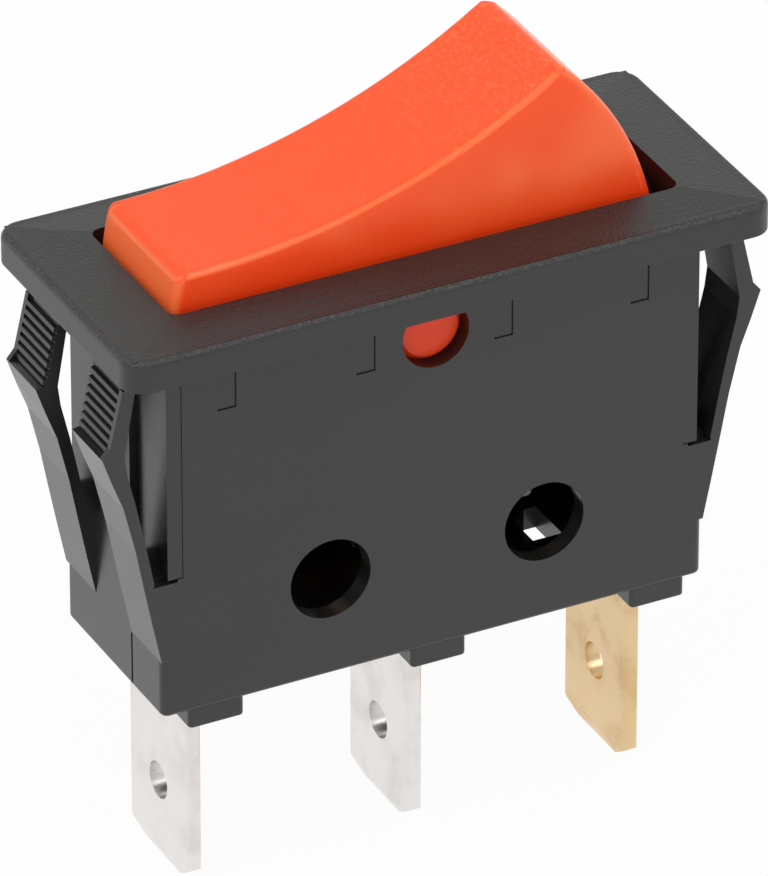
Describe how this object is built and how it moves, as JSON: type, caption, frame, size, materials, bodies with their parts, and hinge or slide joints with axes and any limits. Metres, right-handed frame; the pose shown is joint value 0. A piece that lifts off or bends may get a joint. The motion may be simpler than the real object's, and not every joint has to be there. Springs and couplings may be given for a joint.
{
  "type": "panel rocker switch",
  "caption": "Snap-in panel rocker switch with a black bezel, a translucent red lamp-lit rocker and blade tabs below.",
  "frame": {"origin": "centre of the panel cut-out on the panel's front face, where the bezel's underside rests", "axes": "+Z out of the panel, +X along the rocker towards the raised end that switches on, +Y across the rocker"},
  "size_m": [0.0354, 0.0152, 0.0409],
  "materials": {
    "black_plastic": "fine moulded grain on the bezel, satin below the panel",
    "red_lens": "translucent, grained on the finger surface and glossy on the sides",
    "white_nylon": "smooth",
    "spring_steel": "drawn wire",
    "copper_alloy": "rolled strip",
    "silver": "plain",
    "silver_plate": "silver plate on brass, bright",
    "pale_brass": "plain rolled brass",
    "lamp_glass": "clear",
    "lamp_metal": "plain",
    "tinned_wire": "tinned",
    "resistor_coat": "plain coat",
    "red_sleeve": "insulated wire"
  },
  "bodies": {
    "base": {"housing": "black_plastic", "fixed_contact": "silver", "terminal_load": "silver_plate", "terminal_line": "silver_plate", "terminal_lamp": "pale_brass", "lamp_bulb": "lamp_glass", "lamp_electrode_front": "lamp_metal", "lamp_electrode_back": "lamp_metal", "lamp_lead_front": "tinned_wire", "lamp_lead_back": "tinned_wire", "resistor_body": "resistor_coat", "resistor_cap_inner": "tinned_wire", "resistor_cap_outer": "tinned_wire", "resistor_lead": "tinned_wire", "load_wire": "red_sleeve"},
    "lever": {"rocker": "red_lens", "plunger_spring": "spring_steel"},
    "pin": {"plunger": "white_nylon"},
    "blade": {"contact_blade": "copper_alloy", "blade_contact": "silver"}
  },
  "joints": [
    {"name": "rocker_pivot", "type": "hinge", "parent": "base", "child": "lever", "pos_m": [0, 0, -0.0023], "axis": [0, 1, 0], "range_deg": [0, 34]},
    {"name": "plunger_slide", "type": "slide", "parent": "lever", "child": "pin", "axis": [-0.2924, 0, 0.9563], "range_m": [0, 0.0005], "stiffness_N_per_m": 100, "springref_m": -0.004, "deforming": ["plunger_spring"]},
    {"name": "blade_rock", "type": "hinge", "parent": "base", "child": "blade", "pos_m": [0, 0, -0.01312], "axis": [0, 1, 0], "range_deg": [-10, 0]}
  ],
  "couplings": [
    {"joint": "blade_rock", "follows": "rocker_pivot", "ratio": -0.29412}
  ]
}
